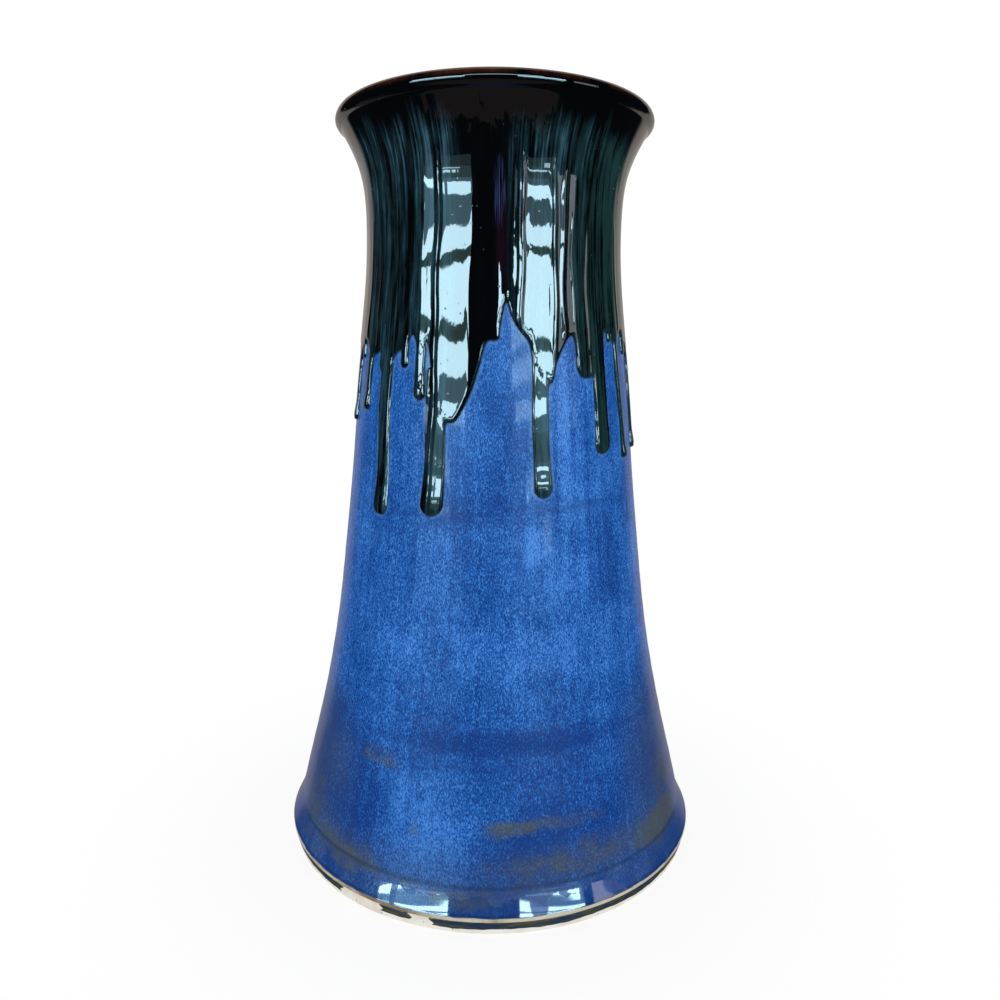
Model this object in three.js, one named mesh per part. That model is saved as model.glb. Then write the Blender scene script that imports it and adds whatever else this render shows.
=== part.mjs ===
import * as THREE from 'three';

// A wheel-thrown stoneware flower vase: a wide belly, a long narrowing neck and a flared lip.
// Blue glaze covers the outside, and a dark glaze poured over the neck runs down it in long beads.
// Millimetres, +Z up. The vase stands on z = 0, and its axis is the Z axis.
// Azimuths are degrees round the axis, 0 at the front (-Y) and 90 at the right (+X).

// Overall size
const HEIGHT = 300;
const TURNS = 40;               // facets round every thrown surface

// The clay's outer wall, from the cove above the foot to just under the lip: radius, height
const WALL = [
  [86.6, 8.8], [81.9, 25], [76.7, 45], [71.0, 70], [64.9, 105], [60.0, 150], [55.3, 195],
  [51.8, 230], [49.9, 252], [51.0, 269], [53.9, 282], [59.5, 294],
];

// Foot
const FOOT_RADIUS = 87.3;
const FOOT_CHAMFER = 0.6;
const FOOT_RING_INNER = 76;
const FOOT_RECESS = 3;          // the trimmed hollow under the floor
const BEAD_RADIUS = 88.3;       // the rounded bead above the foot's edge
const BEAD_BOTTOM = 4.6;
const BEAD_MIDDLE = [5.3, 6.7];

// Wall thickness, and the floor inside
const WALL_AT_FOOT = 7;
const WALL_AT_LIP = 5;
const FLOOR_TOP = 10;
const FLOOR_RADIUS = 62;
const FLOOR_FILLET = [72, 13];  // radius and height where the floor turns up into the wall
const BORE_BOTTOM = 25;         // the bore follows the outer wall between these heights
const BORE_TOP = 290;

// The clay's lip, under its glaze: radius, height
const CLAY_LIP = [[62.4, 295.3], [61.8, 297.6], [60.2, HEIGHT - 1.1], [57.3, 296.8]];

// Glaze layers, measured out from the clay
const SEAT = 0.1;               // clearance between one fired layer and the next
const BORE_SEAT = 0.25;         // the same for the collar in the bore, whose facets stand proud inward
const BLUE_THICKNESS = 0.8;
const BLUE_ON_BEAD = 0.6;       // the glaze breaks thin where it crosses the bead
const BLUE_TOP = 292;
const DARK_THICKNESS = 0.8;
const LINER_THICKNESS = 0.6;
const LINER_TOP = 285;
const COLLAR_INSIDE = 287;      // how far down inside the lip the dark glaze wraps

const BLUE_FACE = SEAT + BLUE_THICKNESS;
const COLLAR_BACK = BLUE_FACE + SEAT;
const COLLAR_FACE = COLLAR_BACK + DARK_THICKNESS;

// The dark glaze's outer skin over the lip: radius, height
const GLAZED_LIP = [[63.5, 295.5], [63.2, 297.6], [61.0, HEIGHT], [58.2, HEIGHT - 0.5], [56.3, 296.8]];
const LIP_MIDDLE = [60, 296];   // the glaze's back keeps clear of the lip, eased away from here
const LIP_EASE = 1.1;

// The dark collar's hem: azimuth and height at each low drip and high notch, once round
const HEM = [
  [-82, 207], [-74, 203], [-66, 209], [-59, 203], [-54, 205], [-46, 200], [-38, 206], [-33, 211],
  [-28, 206], [-24, 182], [-15, 180], [-9, 190], [-5, 201], [-2, 211], [2, 213], [5, 227],
  [9, 216], [13, 210], [18, 200], [25, 204], [32, 213], [36, 199], [40, 199], [44, 206],
  [51, 214], [57, 210], [62, 208], [68, 214], [79, 204], [86, 211], [95, 201], [103, 213],
  [110, 199], [119, 210], [127, 204], [135, 216], [143, 194], [151, 208], [159, 198], [168, 214],
  [177, 203], [186, 211], [193, 199], [200, 209], [209, 196], [218, 215], [226, 203], [234, 208],
  [243, 197], [252, 212], [260, 201], [268, 209],
];
const HEM_TURNS = 72;
const HEM_TOP = 235;            // above this height the collar goes evenly round

// Long runs that hang from the hem: azimuth at the top, azimuth and height at the end, width
const RUNS = [
  [-74, -74, 180, 5], [-59, -59, 185, 4.6], [-46, -44.5, 146, 7.6], [-28.7, -28.2, 190, 4.8],
  [-21, -21.7, 148, 9.2], [17.5, 17.9, 155, 7.2], [45.6, 45.5, 169.6, 8.2], [58.8, 61.7, 166.6, 3.4],
  [79, 79, 169, 5], [110, 111, 158, 8], [127, 126, 178, 4.6], [159, 158, 150, 8.4],
  [177, 177.5, 174, 4.8], [209, 208, 154, 8], [226, 227, 180, 4.6], [243, 243.5, 151, 7.4],
];
const RUN_START = 12;           // how far above the hem a run begins
const RUN_PROUD = [0.5, 1.5];   // how far it stands off the wall at its start and at its end
const RUN_CLEARANCE = 0.3;
const RUN_RISE = 4;             // the height over which a run climbs from the blue onto the collar
const RUN_FACETS = [2, 8, 4];   // in each round end, round the bead and along it

// The dark band round the foot's edge, broken where the clay was wiped bare: azimuths
const FOOT_BANDS = [[-27.5, -19.5], [-14, 94], [103, 188], [197, 319.5]];
const BAND_HEIGHTS = [1.5, 4.3];
const BAND_RADII = [87.5, 88.2];
const BAND_STEP = 6;            // degrees of the band for each facet

const clay = new THREE.MeshStandardMaterial({ color: 0xcbb89a, roughness: 0.85, metalness: 0 });
const liner = new THREE.MeshStandardMaterial({ color: 0x24303c, roughness: 0.3, metalness: 0 });
const blue = new THREE.MeshStandardMaterial({ color: 0x2f5fae, roughness: 0.3, metalness: 0 });
const dark = new THREE.MeshStandardMaterial({ color: 0x10181d, roughness: 0.12, metalness: 0 });

/** The clay's outer radius at a height on the wall. */
function wallRadius(z) {
  const below = WALL.findLastIndex(([, height], i) => height <= z && i < WALL.length - 1);
  const [[r0, z0], [r1, z1]] = WALL.slice(below, below + 2);
  return r0 + (r1 - r0) * (z - z0) / (z1 - z0);
}

/** The clay's inner radius at a height: the wall tapers evenly from foot to lip. */
function boreRadius(z) {
  return wallRadius(z) - THREE.MathUtils.lerp(WALL_AT_FOOT, WALL_AT_LIP, z / HEIGHT);
}

/** Wall rows between two heights, with a row at each end, set off from the clay by `offset`. */
function wallRows(bottom, top, offset, radius = wallRadius) {
  const between = WALL.map(([, z]) => z).filter((z) => z > bottom && z < top);
  return [bottom, ...between, top].map((z) => [radius(z) + offset, z]);
}

/** A solid turned from a profile that starts and ends on the axis or closes on itself. */
function turned(profile, turns = TURNS) {
  const points = profile.map(([r, z]) => new THREE.Vector2(r, z));
  return new THREE.LatheGeometry(points, turns).rotateX(Math.PI / 2);
}

/** The thrown body: outer wall, lip, bore, floor, foot ring and the recess under it. */
function clayBody() {
  const [, coveHeight] = WALL[0];
  const [, shoulder] = WALL.at(-1);
  return turned([
    [0, FOOT_RECESS],
    [FOOT_RING_INNER - FOOT_RECESS, FOOT_RECESS],
    [FOOT_RING_INNER, 0],
    [FOOT_RADIUS - FOOT_CHAMFER, 0],
    [FOOT_RADIUS, FOOT_CHAMFER],
    [FOOT_RADIUS, BEAD_BOTTOM],
    ...BEAD_MIDDLE.map((z) => [BEAD_RADIUS, z]),
    ...wallRows(coveHeight, shoulder, 0),
    ...CLAY_LIP,
    ...wallRows(BORE_BOTTOM, BORE_TOP, 0, boreRadius).reverse(),
    FLOOR_FILLET,
    [FLOOR_RADIUS, FLOOR_TOP],
    [0, FLOOR_TOP],
  ]);
}

/** The glaze inside: a thin pot that lines the bore and the floor. */
function linerGlaze() {
  const back = -SEAT;
  const face = back - LINER_THICKNESS;
  const [filletRadius, filletHeight] = FLOOR_FILLET;
  const lined = (offset) => wallRows(BORE_BOTTOM, LINER_TOP, offset, boreRadius);
  return turned([
    [0, FLOOR_TOP - back],
    [FLOOR_RADIUS + back, FLOOR_TOP - back],
    [filletRadius + back, filletHeight - back],
    ...lined(back),
    ...lined(face).reverse(),
    [filletRadius + face, filletHeight - face],
    [FLOOR_RADIUS + face, FLOOR_TOP - face],
    [0, FLOOR_TOP - face],
  ]);
}

/** The blue coat: one skin from the bead at the foot to the underside of the lip. */
function blueGlaze() {
  const [, coveHeight] = WALL[0];
  const bead = (offset) => [
    [FOOT_RADIUS + offset, BEAD_BOTTOM],
    ...BEAD_MIDDLE.map((z) => [BEAD_RADIUS + offset, z]),
  ];
  const face = [...bead(SEAT + BLUE_ON_BEAD), ...wallRows(coveHeight, BLUE_TOP, BLUE_FACE)];
  const back = [...bead(SEAT), ...wallRows(coveHeight, BLUE_TOP, SEAT)];
  return turned([...face, ...back.reverse(), face[0]]);
}

/** The hem's height at an azimuth, from the straight line between its drips and notches. */
function hemCurve(azimuth) {
  const [first] = HEM[0];
  const turn = THREE.MathUtils.euclideanModulo(azimuth - first, 360) + first;
  const next = HEM.findIndex(([a]) => a > turn);
  const [a0, z0] = next < 0 ? HEM.at(-1) : HEM[next - 1];
  const [a1, z1] = next < 0 ? [first + 360, HEM[0][1]] : HEM[next];
  return z0 + (z1 - z0) * (turn - a0) / (a1 - a0);
}

/** The azimuth in degrees of a point. */
function azimuthOf(x, y) {
  return THREE.MathUtils.radToDeg(Math.atan2(x, -y));
}

/** The dark collar: over the blue coat, over the lip and a little way down inside it. */
function darkCollar() {
  const [, shoulder] = WALL.at(-1);
  const hem = Math.min(...HEM.map(([, z]) => z));
  const rows = (offset) => [[wallRadius(hem) + offset, hem], ...wallRows(HEM_TOP, shoulder, offset)];
  const easedLip = CLAY_LIP.map((point) => (
    point.map((value, i) => THREE.MathUtils.lerp(LIP_MIDDLE[i], value, LIP_EASE))
  ));
  const inside = (depth, z) => [boreRadius(z) - depth, z];
  const face = [...rows(COLLAR_FACE), ...GLAZED_LIP, inside(BORE_SEAT + DARK_THICKNESS, COLLAR_INSIDE)];
  const back = [
    ...rows(COLLAR_BACK),
    ...easedLip,
    inside(BORE_SEAT, BORE_TOP),
    inside(BORE_SEAT, COLLAR_INSIDE),
  ];
  const geometry = turned([...face, ...back.reverse(), face[0]], HEM_TURNS);

  // Each point of the lowest row drops or rises to the hem, and follows the wall's radius there
  const position = geometry.getAttribute('position');
  for (let i = 0; i < position.count; i += 1) {
    if (position.getZ(i) < hem + 1) {
      const x = position.getX(i);
      const y = position.getY(i);
      const z = hemCurve(azimuthOf(x, y));
      const radius = Math.hypot(x, y);
      const scale = (radius - wallRadius(hem) + wallRadius(z)) / radius;
      position.setXYZ(i, x * scale, y * scale, z);
    }
  }
  return geometry;
}

/** One run: a bead that starts on the collar, crosses the hem and ends in a round drip. */
function glazeRun([startAzimuth, endAzimuth, end, width]) {
  const radius = width / 2;
  const hem = Math.min(...[-7, -3, 0, 3, 7].map((aside) => hemCurve(startAzimuth + aside)));
  const start = hemCurve(startAzimuth) + RUN_START;
  const length = start - end - width;
  const liftedFrom = hem - length / RUN_FACETS.at(-1);
  const geometry = new THREE.CapsuleGeometry(radius, length, ...RUN_FACETS);
  const position = geometry.getAttribute('position');
  for (let i = 0; i < position.count; i += 1) {
    const z = (start + end) / 2 + position.getY(i);
    const drop = THREE.MathUtils.clamp((start - z) / (start - end), 0, 1);
    const proud = THREE.MathUtils.lerp(...RUN_PROUD, drop) * Math.max(position.getZ(i), 0) / radius;
    const overCollar = THREE.MathUtils.clamp((z - liftedFrom) / RUN_RISE + 1, 0, 1);
    const seat = THREE.MathUtils.lerp(BLUE_FACE, COLLAR_FACE, overCollar) + RUN_CLEARANCE;
    const r = wallRadius(z) + seat + proud;
    const middle = THREE.MathUtils.degToRad(THREE.MathUtils.lerp(startAzimuth, endAzimuth, drop));
    const angle = middle + position.getX(i) / r;
    position.setXYZ(i, r * Math.sin(angle), -r * Math.cos(angle), z);
  }
  return geometry;
}

/** One stretch of the dark band round the foot: a ring sector, raised to its height. */
function footBand([from, to]) {
  const [bottom, top] = BAND_HEIGHTS;
  const [inner, outer] = BAND_RADII;
  const [start, finish] = [from - 90, to - 90].map(THREE.MathUtils.degToRad);
  const outline = new THREE.Shape().absarc(0, 0, outer, start, finish, false);
  outline.absarc(0, 0, inner, finish, start, true);
  const curveSegments = Math.max(3, Math.round((to - from) / BAND_STEP));
  const raised = { depth: top - bottom, bevelEnabled: false, curveSegments };
  return new THREE.ExtrudeGeometry(outline, raised).translate(0, 0, bottom);
}

const vase = new THREE.Group();

/** Adds one named piece to the vase. */
function piece(name, geometry, material) {
  const mesh = new THREE.Mesh(geometry, material.clone());
  mesh.name = name;
  vase.add(mesh);
}

const numbered = (name, index) => `${name}_${String(index + 1).padStart(2, '0')}`;

piece('clay_body', clayBody(), clay);
piece('liner_glaze', linerGlaze(), liner);
piece('blue_glaze_coat', blueGlaze(), blue);
piece('dark_glaze_collar', darkCollar(), dark);
RUNS.forEach((run, i) => piece(numbered('glaze_run', i), glazeRun(run), dark));
FOOT_BANDS.forEach((band, i) => piece(numbered('foot_band', i), footBand(band), dark));

export default vase;
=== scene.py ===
"""The looks of a wheel-thrown stoneware vase: blue glaze, and a dark glaze poured over its neck.

Everything is in metres, +Z up, with the vase standing on z = 0 round the Z axis. Azimuths are in degrees
round that axis, 0 at the front (-Y) and 90 at the right (+X).
"""

import logging
import math
from dataclasses import dataclass, field
from enum import Enum
from typing import Any, Callable, Iterable, Sequence

import bpy
import numpy as np
from mathutils import Matrix, Vector


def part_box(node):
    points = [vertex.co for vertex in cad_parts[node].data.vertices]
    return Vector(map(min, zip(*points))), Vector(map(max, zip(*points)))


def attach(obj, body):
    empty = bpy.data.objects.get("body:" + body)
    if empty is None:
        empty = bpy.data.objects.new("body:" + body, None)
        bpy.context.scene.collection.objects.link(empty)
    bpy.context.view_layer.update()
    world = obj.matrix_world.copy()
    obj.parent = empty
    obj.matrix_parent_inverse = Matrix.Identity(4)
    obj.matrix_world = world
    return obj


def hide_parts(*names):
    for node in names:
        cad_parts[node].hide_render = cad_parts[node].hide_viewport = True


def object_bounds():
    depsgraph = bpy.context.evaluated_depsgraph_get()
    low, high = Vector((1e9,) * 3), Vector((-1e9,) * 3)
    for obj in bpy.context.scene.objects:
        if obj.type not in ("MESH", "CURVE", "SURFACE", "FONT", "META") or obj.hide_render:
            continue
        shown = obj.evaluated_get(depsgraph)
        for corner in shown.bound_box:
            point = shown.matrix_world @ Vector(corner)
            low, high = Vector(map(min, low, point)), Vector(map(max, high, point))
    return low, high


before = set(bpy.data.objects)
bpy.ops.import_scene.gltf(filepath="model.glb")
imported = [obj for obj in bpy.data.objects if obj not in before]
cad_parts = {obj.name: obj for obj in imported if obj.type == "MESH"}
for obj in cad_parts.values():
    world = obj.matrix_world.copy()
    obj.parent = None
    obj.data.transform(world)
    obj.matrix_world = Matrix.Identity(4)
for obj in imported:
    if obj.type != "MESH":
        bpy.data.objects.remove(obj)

LOG = logging.getLogger("vase")
CAD_LOW, CAD_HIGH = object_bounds()
MM = 0.001
ROOT = "root"

# The glazed wall's radius at each height, from the cove above the foot up to the underside of the lip
WALL_HEIGHTS = np.array([10, 12, 14, 16, 18, 25, 45, 70, 100, 130, 160, 190, 202, 214, 226, 236, 246, 256,
                         266, 276, 286, 294]) * MM
WALL_RADII = np.array([87.5, 86.56, 85.62, 84.86, 84.3, 82.6, 77.6, 71.9, 66.6, 62.9, 59.6, 56.8, 55.48,
                       54.11, 52.77, 51.8, 51.19, 51.06, 51.38, 52.72, 56.21, 60.4]) * MM
CLAY_DEPTH = 0.85 * MM      # from the glaze's face down to the clay
COAT_DEPTH = 0.75 * MM      # from the blue coat's face to its back
DARK_DEPTH = 0.85 * MM      # the dark glaze's thickness away from its edges
SKIN = 0.03 * MM            # the thinnest edge of a poured glaze
CLEAR = 0.02 * MM           # how far a skin lies off the surface below it
FOOT_WALL = 87.6 * MM       # the clay's upright edge under the bead
RUN_RADIUS = 57.0           # the wall's radius where the runs hang, in millimetres
FAR = 12                    # millimetres beyond which distance to a glaze's edge is not told apart
RUN_FILLET = 1.8            # millimetres of fillet where runs and hem meet


# ---------------------------------------------------------------------------------------------
# Node graphs


class Value:
    """A number socket of a node graph, on which Python's operators add Math nodes."""

    def __init__(self, graph: "Graph", socket: bpy.types.NodeSocket) -> None:
        """Wraps a socket.

        Args:
            graph: The graph that holds the socket's node.
            socket: The output socket that carries the number.
        """
        self.graph = graph
        self.socket = socket

    def _math(self, operation: str, *operands: Any) -> "Value":
        """Adds one Math node and returns its result."""
        made = self.graph.node("ShaderNodeMath", {"operation": operation}, dict(enumerate(operands)))
        return Value(self.graph, made.outputs[0])

    def __add__(self, other: Any) -> "Value":
        """Sum."""
        return self._math("ADD", self, other)

    __radd__ = __add__

    def __sub__(self, other: Any) -> "Value":
        """Difference."""
        return self._math("SUBTRACT", self, other)

    def __rsub__(self, other: Any) -> "Value":
        """Difference, with this value taken from a number."""
        return self._math("SUBTRACT", other, self)

    def __mul__(self, other: Any) -> "Value":
        """Product."""
        return self._math("MULTIPLY", self, other)

    __rmul__ = __mul__

    def __truediv__(self, other: Any) -> "Value":
        """Quotient."""
        return self._math("DIVIDE", self, other)

    def __pow__(self, other: Any) -> "Value":
        """Power."""
        return self._math("POWER", self, other)

    def __neg__(self) -> "Value":
        """Negative."""
        return self._math("MULTIPLY", self, -1.0)

    def sine(self) -> "Value":
        """Sine of an angle in radians."""
        return self._math("SINE", self)

    def cosine(self) -> "Value":
        """Cosine of an angle in radians."""
        return self._math("COSINE", self)

    def floor(self) -> "Value":
        """Whole part."""
        return self._math("FLOOR", self)

    def root(self) -> "Value":
        """Square root."""
        return self._math("SQRT", self)

    def lowest(self, other: Any) -> "Value":
        """The lower of two values."""
        return self._math("MINIMUM", self, other)

    def highest(self, other: Any) -> "Value":
        """The higher of two values."""
        return self._math("MAXIMUM", self, other)

    def ramp(self, start: float, end: float) -> "Value":
        """A smooth rise from 0 to 1.

        Args:
            start: The value at which the rise begins.
            end: The value at which it ends, lower than start for a fall.

        Returns:
            The eased mask, held at 0 and 1 outside that stretch.
        """
        low, high = min(start, end), max(start, end)
        eased = self.graph.node("ShaderNodeMapRange", {"interpolation_type": "SMOOTHSTEP"},
                                {"Value": self, "From Min": low, "From Max": high})
        rise = Value(self.graph, eased.outputs[0])
        return rise if end > start else 1.0 - rise

    def bump(self, middle: float, width: float) -> "Value":
        """A soft hump of height 1 at a middle value, gone at one width to either side."""
        away = (self - middle) / width
        return (1.0 - away * away).highest(0.0) ** 2.0


class Graph:
    """Adds nodes to a shader or geometry node tree."""

    def __init__(self, tree: bpy.types.NodeTree) -> None:
        """Empties the tree.

        Args:
            tree: The node tree to fill.
        """
        self.tree = tree
        tree.nodes.clear()

    def node(self, kind: str, settings: dict[str, Any] | None = None,
             inputs: dict[Any, Any] | None = None) -> bpy.types.Node:
        """Adds one node.

        Args:
            kind: The node's type name.
            settings: Its settings, such as an operation, or the stops of a ramp.
            inputs: Values or links by socket name, identifier or index.

        Returns:
            The new node.
        """
        made = self.tree.nodes.new(kind)
        for name, value in (settings or {}).items():
            setattr(made, name, value)
        for key, value in (inputs or {}).items():
            self.feed(self._socket(made, key), value)
        return made

    @staticmethod
    def _socket(made: bpy.types.Node, key: Any) -> bpy.types.NodeSocket:
        """Finds an input by index, identifier or name."""
        if isinstance(key, int):
            return made.inputs[key]
        return next((s for s in made.inputs if s.identifier == key), None) or made.inputs[key]

    def feed(self, socket: bpy.types.NodeSocket, value: Any) -> None:
        """Links a value to an input socket, or sets the socket's own value."""
        source = value.socket if isinstance(value, Value) else value
        if isinstance(source, bpy.types.NodeSocket):
            self.tree.links.new(source, socket)
        else:
            socket.default_value = source

    def value(self, kind: str, output: Any = 0, settings: dict[str, Any] | None = None,
              inputs: dict[Any, Any] | None = None) -> Value:
        """Adds one node and wraps one of its number outputs."""
        return Value(self, self.node(kind, settings, inputs).outputs[output])

    def vector(self, x: Any, y: Any, z: Any) -> bpy.types.NodeSocket:
        """A vector from three numbers."""
        return self.node("ShaderNodeCombineXYZ", None, {"X": x, "Y": y, "Z": z}).outputs[0]

    def blend(self, factor: Any, first: Any, second: Any) -> bpy.types.NodeSocket:
        """A colour between two colours.

        Args:
            factor: 0 for the first colour, 1 for the second.
            first: A colour or a colour socket.
            second: A colour or a colour socket.

        Returns:
            The mixed colour's socket.
        """
        colours = [(*c, 1.0) if isinstance(c, tuple) and len(c) == 3 else c for c in (first, second)]
        mixed = self.node("ShaderNodeMix", {"data_type": "RGBA", "clamp_factor": True},
                          {"Factor_Float": factor, "A_Color": colours[0], "B_Color": colours[1]})
        return next(s for s in mixed.outputs if s.identifier == "Result_Color")


@dataclass
class GlazeSpace:
    """Coordinates that follow the turned wall: round it at one radius, and up it."""

    graph: Graph
    around: float = 60 * MM

    def __post_init__(self) -> None:
        """Reads the object's own coordinates."""
        place = self.graph.node("ShaderNodeTexCoord").outputs["Object"]
        parts = self.graph.node("ShaderNodeSeparateXYZ", None, {0: place}).outputs
        x, y, self.height = (Value(self.graph, s) for s in parts)
        self.place = place
        self.radius = (x * x + y * y + 1e-9).root()
        self.east = x / self.radius
        self.north = y / self.radius

    def noise(self, width: float, tall: float, detail: float = 3.0, rough: float = 0.5,
              seed: float = 0.0) -> Value:
        """Noise whose cells have a given width round the wall and a given height up it.

        Args:
            width: The cells' width, in metres.
            tall: The cells' height, in metres.
            detail: Octaves of finer noise.
            rough: Strength of the finer octaves.
            seed: Chooses the pattern.

        Returns:
            The noise, about 0.5 on average.
        """
        turn = self.around / width
        where = self.graph.vector(self.east * turn, self.north * turn, self.height / tall)
        return self.graph.value("ShaderNodeTexNoise", "Fac", {"noise_dimensions": "4D"},
                                {"Vector": where, "W": seed, "Scale": 1.0, "Detail": detail,
                                 "Roughness": rough})

    def spot(self, azimuth: float, height: float, wide: float, tall: float) -> Value:
        """A soft patch on the wall, 1 at its middle.

        Args:
            azimuth: Its place round the wall, in degrees.
            height: Its place up the wall, in metres.
            wide: Its half-width in metres.
            tall: Its half-height in metres.

        Returns:
            The patch's mask.
        """
        angle = math.radians(azimuth)
        facing = self.east * math.sin(angle) - self.north * math.cos(angle)
        across = (1.0 - facing) * (2.0 * (self.around / wide) ** 2)
        up = (self.height - height) / tall
        return (1.0 - across - up * up).highest(0.0)


# ---------------------------------------------------------------------------------------------
# Finishes


def new_material(name: str) -> tuple[bpy.types.Material, Graph]:
    """Makes an empty node material.

    Args:
        name: The material's name.

    Returns:
        The material and the graph of its nodes.
    """
    material = bpy.data.materials.new(name)
    material.use_nodes = True
    return material, Graph(material.node_tree)


def surface(graph: Graph, colour: Any, roughness: Any, normal: Any, constants: dict[str, Any]) -> None:
    """Ends a material in a Principled shader.

    Args:
        graph: The material's graph.
        colour: The base colour.
        roughness: The roughness.
        normal: The normal's socket.
        constants: Values that are the same all over, by socket name.
    """
    shader = graph.node("ShaderNodeBsdfPrincipled", None,
                        {**constants, "Base Color": colour, "Roughness": roughness, "Normal": normal})
    graph.node("ShaderNodeOutputMaterial", None, {"Surface": shader.outputs[0]})


def relief(graph: Graph, height: Value, depth: float) -> bpy.types.NodeSocket:
    """A bumped normal.

    Args:
        graph: The material's graph.
        height: The relief, 0 to 1.
        depth: What 1 stands for, in metres.

    Returns:
        The normal's socket.
    """
    made = graph.node("ShaderNodeBump", None, {"Strength": 1.0, "Distance": depth, "Height": height})
    return made.outputs[0]


@dataclass(frozen=True)
class BareClay:
    """Fired stoneware without glaze: cream to tan, speckled, with fine wheel lines."""

    cream: tuple = (0.87, 0.85, 0.79)
    tan: tuple = (0.55, 0.42, 0.26)
    speck: tuple = (0.09, 0.05, 0.03)
    grain: float = 0.7 * MM

    def make(self) -> bpy.types.Material:
        """Builds the material."""
        material, graph = new_material("bare_clay")
        space = GlazeSpace(graph)
        stain = graph.value("ShaderNodeTexNoise", "Fac", None,
                            {"Vector": space.place, "Scale": 1.0 / (14 * MM), "Detail": 4.0}).ramp(0.42, 0.68)
        grit = graph.value("ShaderNodeTexNoise", "Fac", None,
                           {"Vector": space.place, "Scale": 1.0 / self.grain, "Detail": 3.0})
        specks = graph.value("ShaderNodeTexVoronoi", "Distance", None,
                             {"Vector": space.place, "Scale": 1.0 / (2.6 * MM)}).ramp(0.16, 0.05)
        wheel = (space.radius / (0.5 * MM)).sine() * 0.5 + 0.5
        colour = graph.blend(stain * 0.45 + grit * 0.12, self.cream, self.tan)
        colour = graph.blend(specks * 0.7, colour, self.speck)
        rough = grit * 0.2 + 0.68
        normal = relief(graph, grit * 0.7 + wheel * 0.3, 0.08 * MM)
        surface(graph, colour, rough, normal, {"IOR": 1.45})
        return material


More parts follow.
